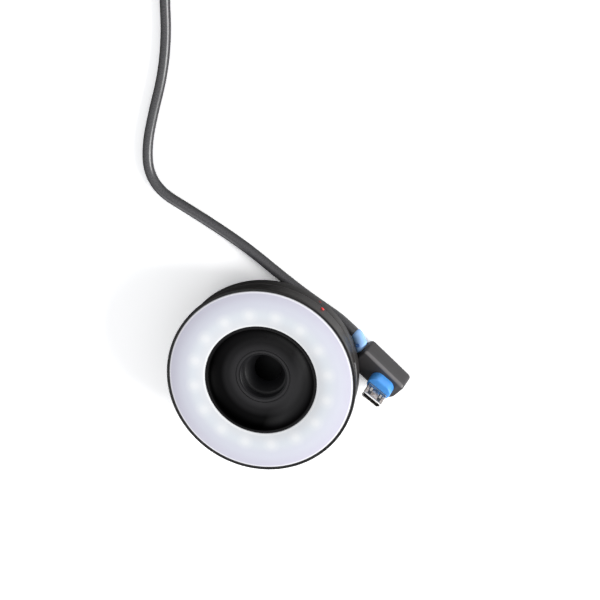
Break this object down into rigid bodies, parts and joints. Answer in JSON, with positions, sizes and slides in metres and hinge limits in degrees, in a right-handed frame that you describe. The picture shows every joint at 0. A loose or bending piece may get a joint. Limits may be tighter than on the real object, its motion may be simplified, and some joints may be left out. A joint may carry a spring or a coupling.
{
  "type": "macro ring light",
  "caption": "Round LED ring light for close-up work, with a milky diffuser, a turning rear lock ring with a clamping sleeve, and a charging cable with an angled plug.",
  "frame": {"origin": "on the ring's axis, at the foot of the rear collar that the light lies on", "axes": "+Z along the ring's axis, out of the diffuser; +X to the right and +Y up in the picture's view, laid on the floor"},
  "size_m": [0.0964, 0.2118, 0.0205],
  "materials": {
    "housing_black": "fine matt moulded black",
    "index_red": "red paint",
    "index_dark_red": "dark red paint",
    "diffuser_white": "milky satin",
    "reflector_white": "matt white",
    "board_white": "white solder mask",
    "led_yellow": "phosphor yellow",
    "part_black": "matt",
    "capacitor_can": "satin",
    "socket_steel": "satin",
    "socket_black": "matt",
    "contact_gold": "gold plated",
    "hood_black": "matt black",
    "sleeve_black": "black anodised",
    "stop_black": "matt black",
    "plate_black": "matt",
    "collet_grey": "satin dark grey",
    "lock_ring_black": "fine matt moulded black",
    "pin_steel": "satin",
    "washer_white": "slippery white plastic",
    "screw_steel": "satin",
    "plug_grey": "soft matt grey",
    "collar_blue": "satin bright blue",
    "plug_steel": "bright",
    "insert_black": "matt",
    "insert_blue": "satin",
    "relief_blue": "soft pale blue",
    "cable_black": "satin black",
    "strap_black": "woven hook-and-loop"
  },
  "bodies": {
    "light": {"front_housing": "housing_black", "front_dot": "index_red", "diffuser": "diffuser_white", "reflector_tray": "reflector_white", "led_board": "board_white", "led_chips": "led_yellow", "resistors": "part_black", "driver_chip": "part_black", "capacitor": "capacitor_can", "socket_shell": "socket_steel", "socket_tongue": "socket_black", "socket_contacts": "contact_gold", "inner_hood": "hood_black", "threaded_sleeve": "sleeve_black", "stop_cone": "stop_black", "rear_plate": "plate_black", "collet_sleeve": "collet_grey", "stop_pins": "pin_steel", "retaining_wire": "pin_steel", "friction_washer": "washer_white", "rear_screws": "screw_steel", "board_screws": "screw_steel", "small_plug_body": "plug_grey", "small_plug_collar": "collar_blue", "small_plug_shell": "plug_steel", "small_plug_hooks": "plug_steel", "small_plug_insert": "insert_black", "small_plug_relief": "relief_blue", "cable_run": "cable_black", "cable_coil": "cable_black", "cable_tail": "cable_black", "cable_strap": "strap_black", "far_plug_relief": "relief_blue", "far_plug_body": "plug_grey", "far_plug_shell": "plug_steel", "far_plug_tongue": "insert_blue", "far_plug_contacts": "contact_gold"},
    "lock": {"lock_ring": "lock_ring_black", "rear_dot": "index_dark_red"}
  },
  "joints": [
    {"name": "lock_ring_turn", "type": "hinge", "parent": "light", "child": "lock", "pos_m": [0, 0, 0.0105], "axis": [0, 0, 1], "range_deg": [0, 45]}
  ]
}
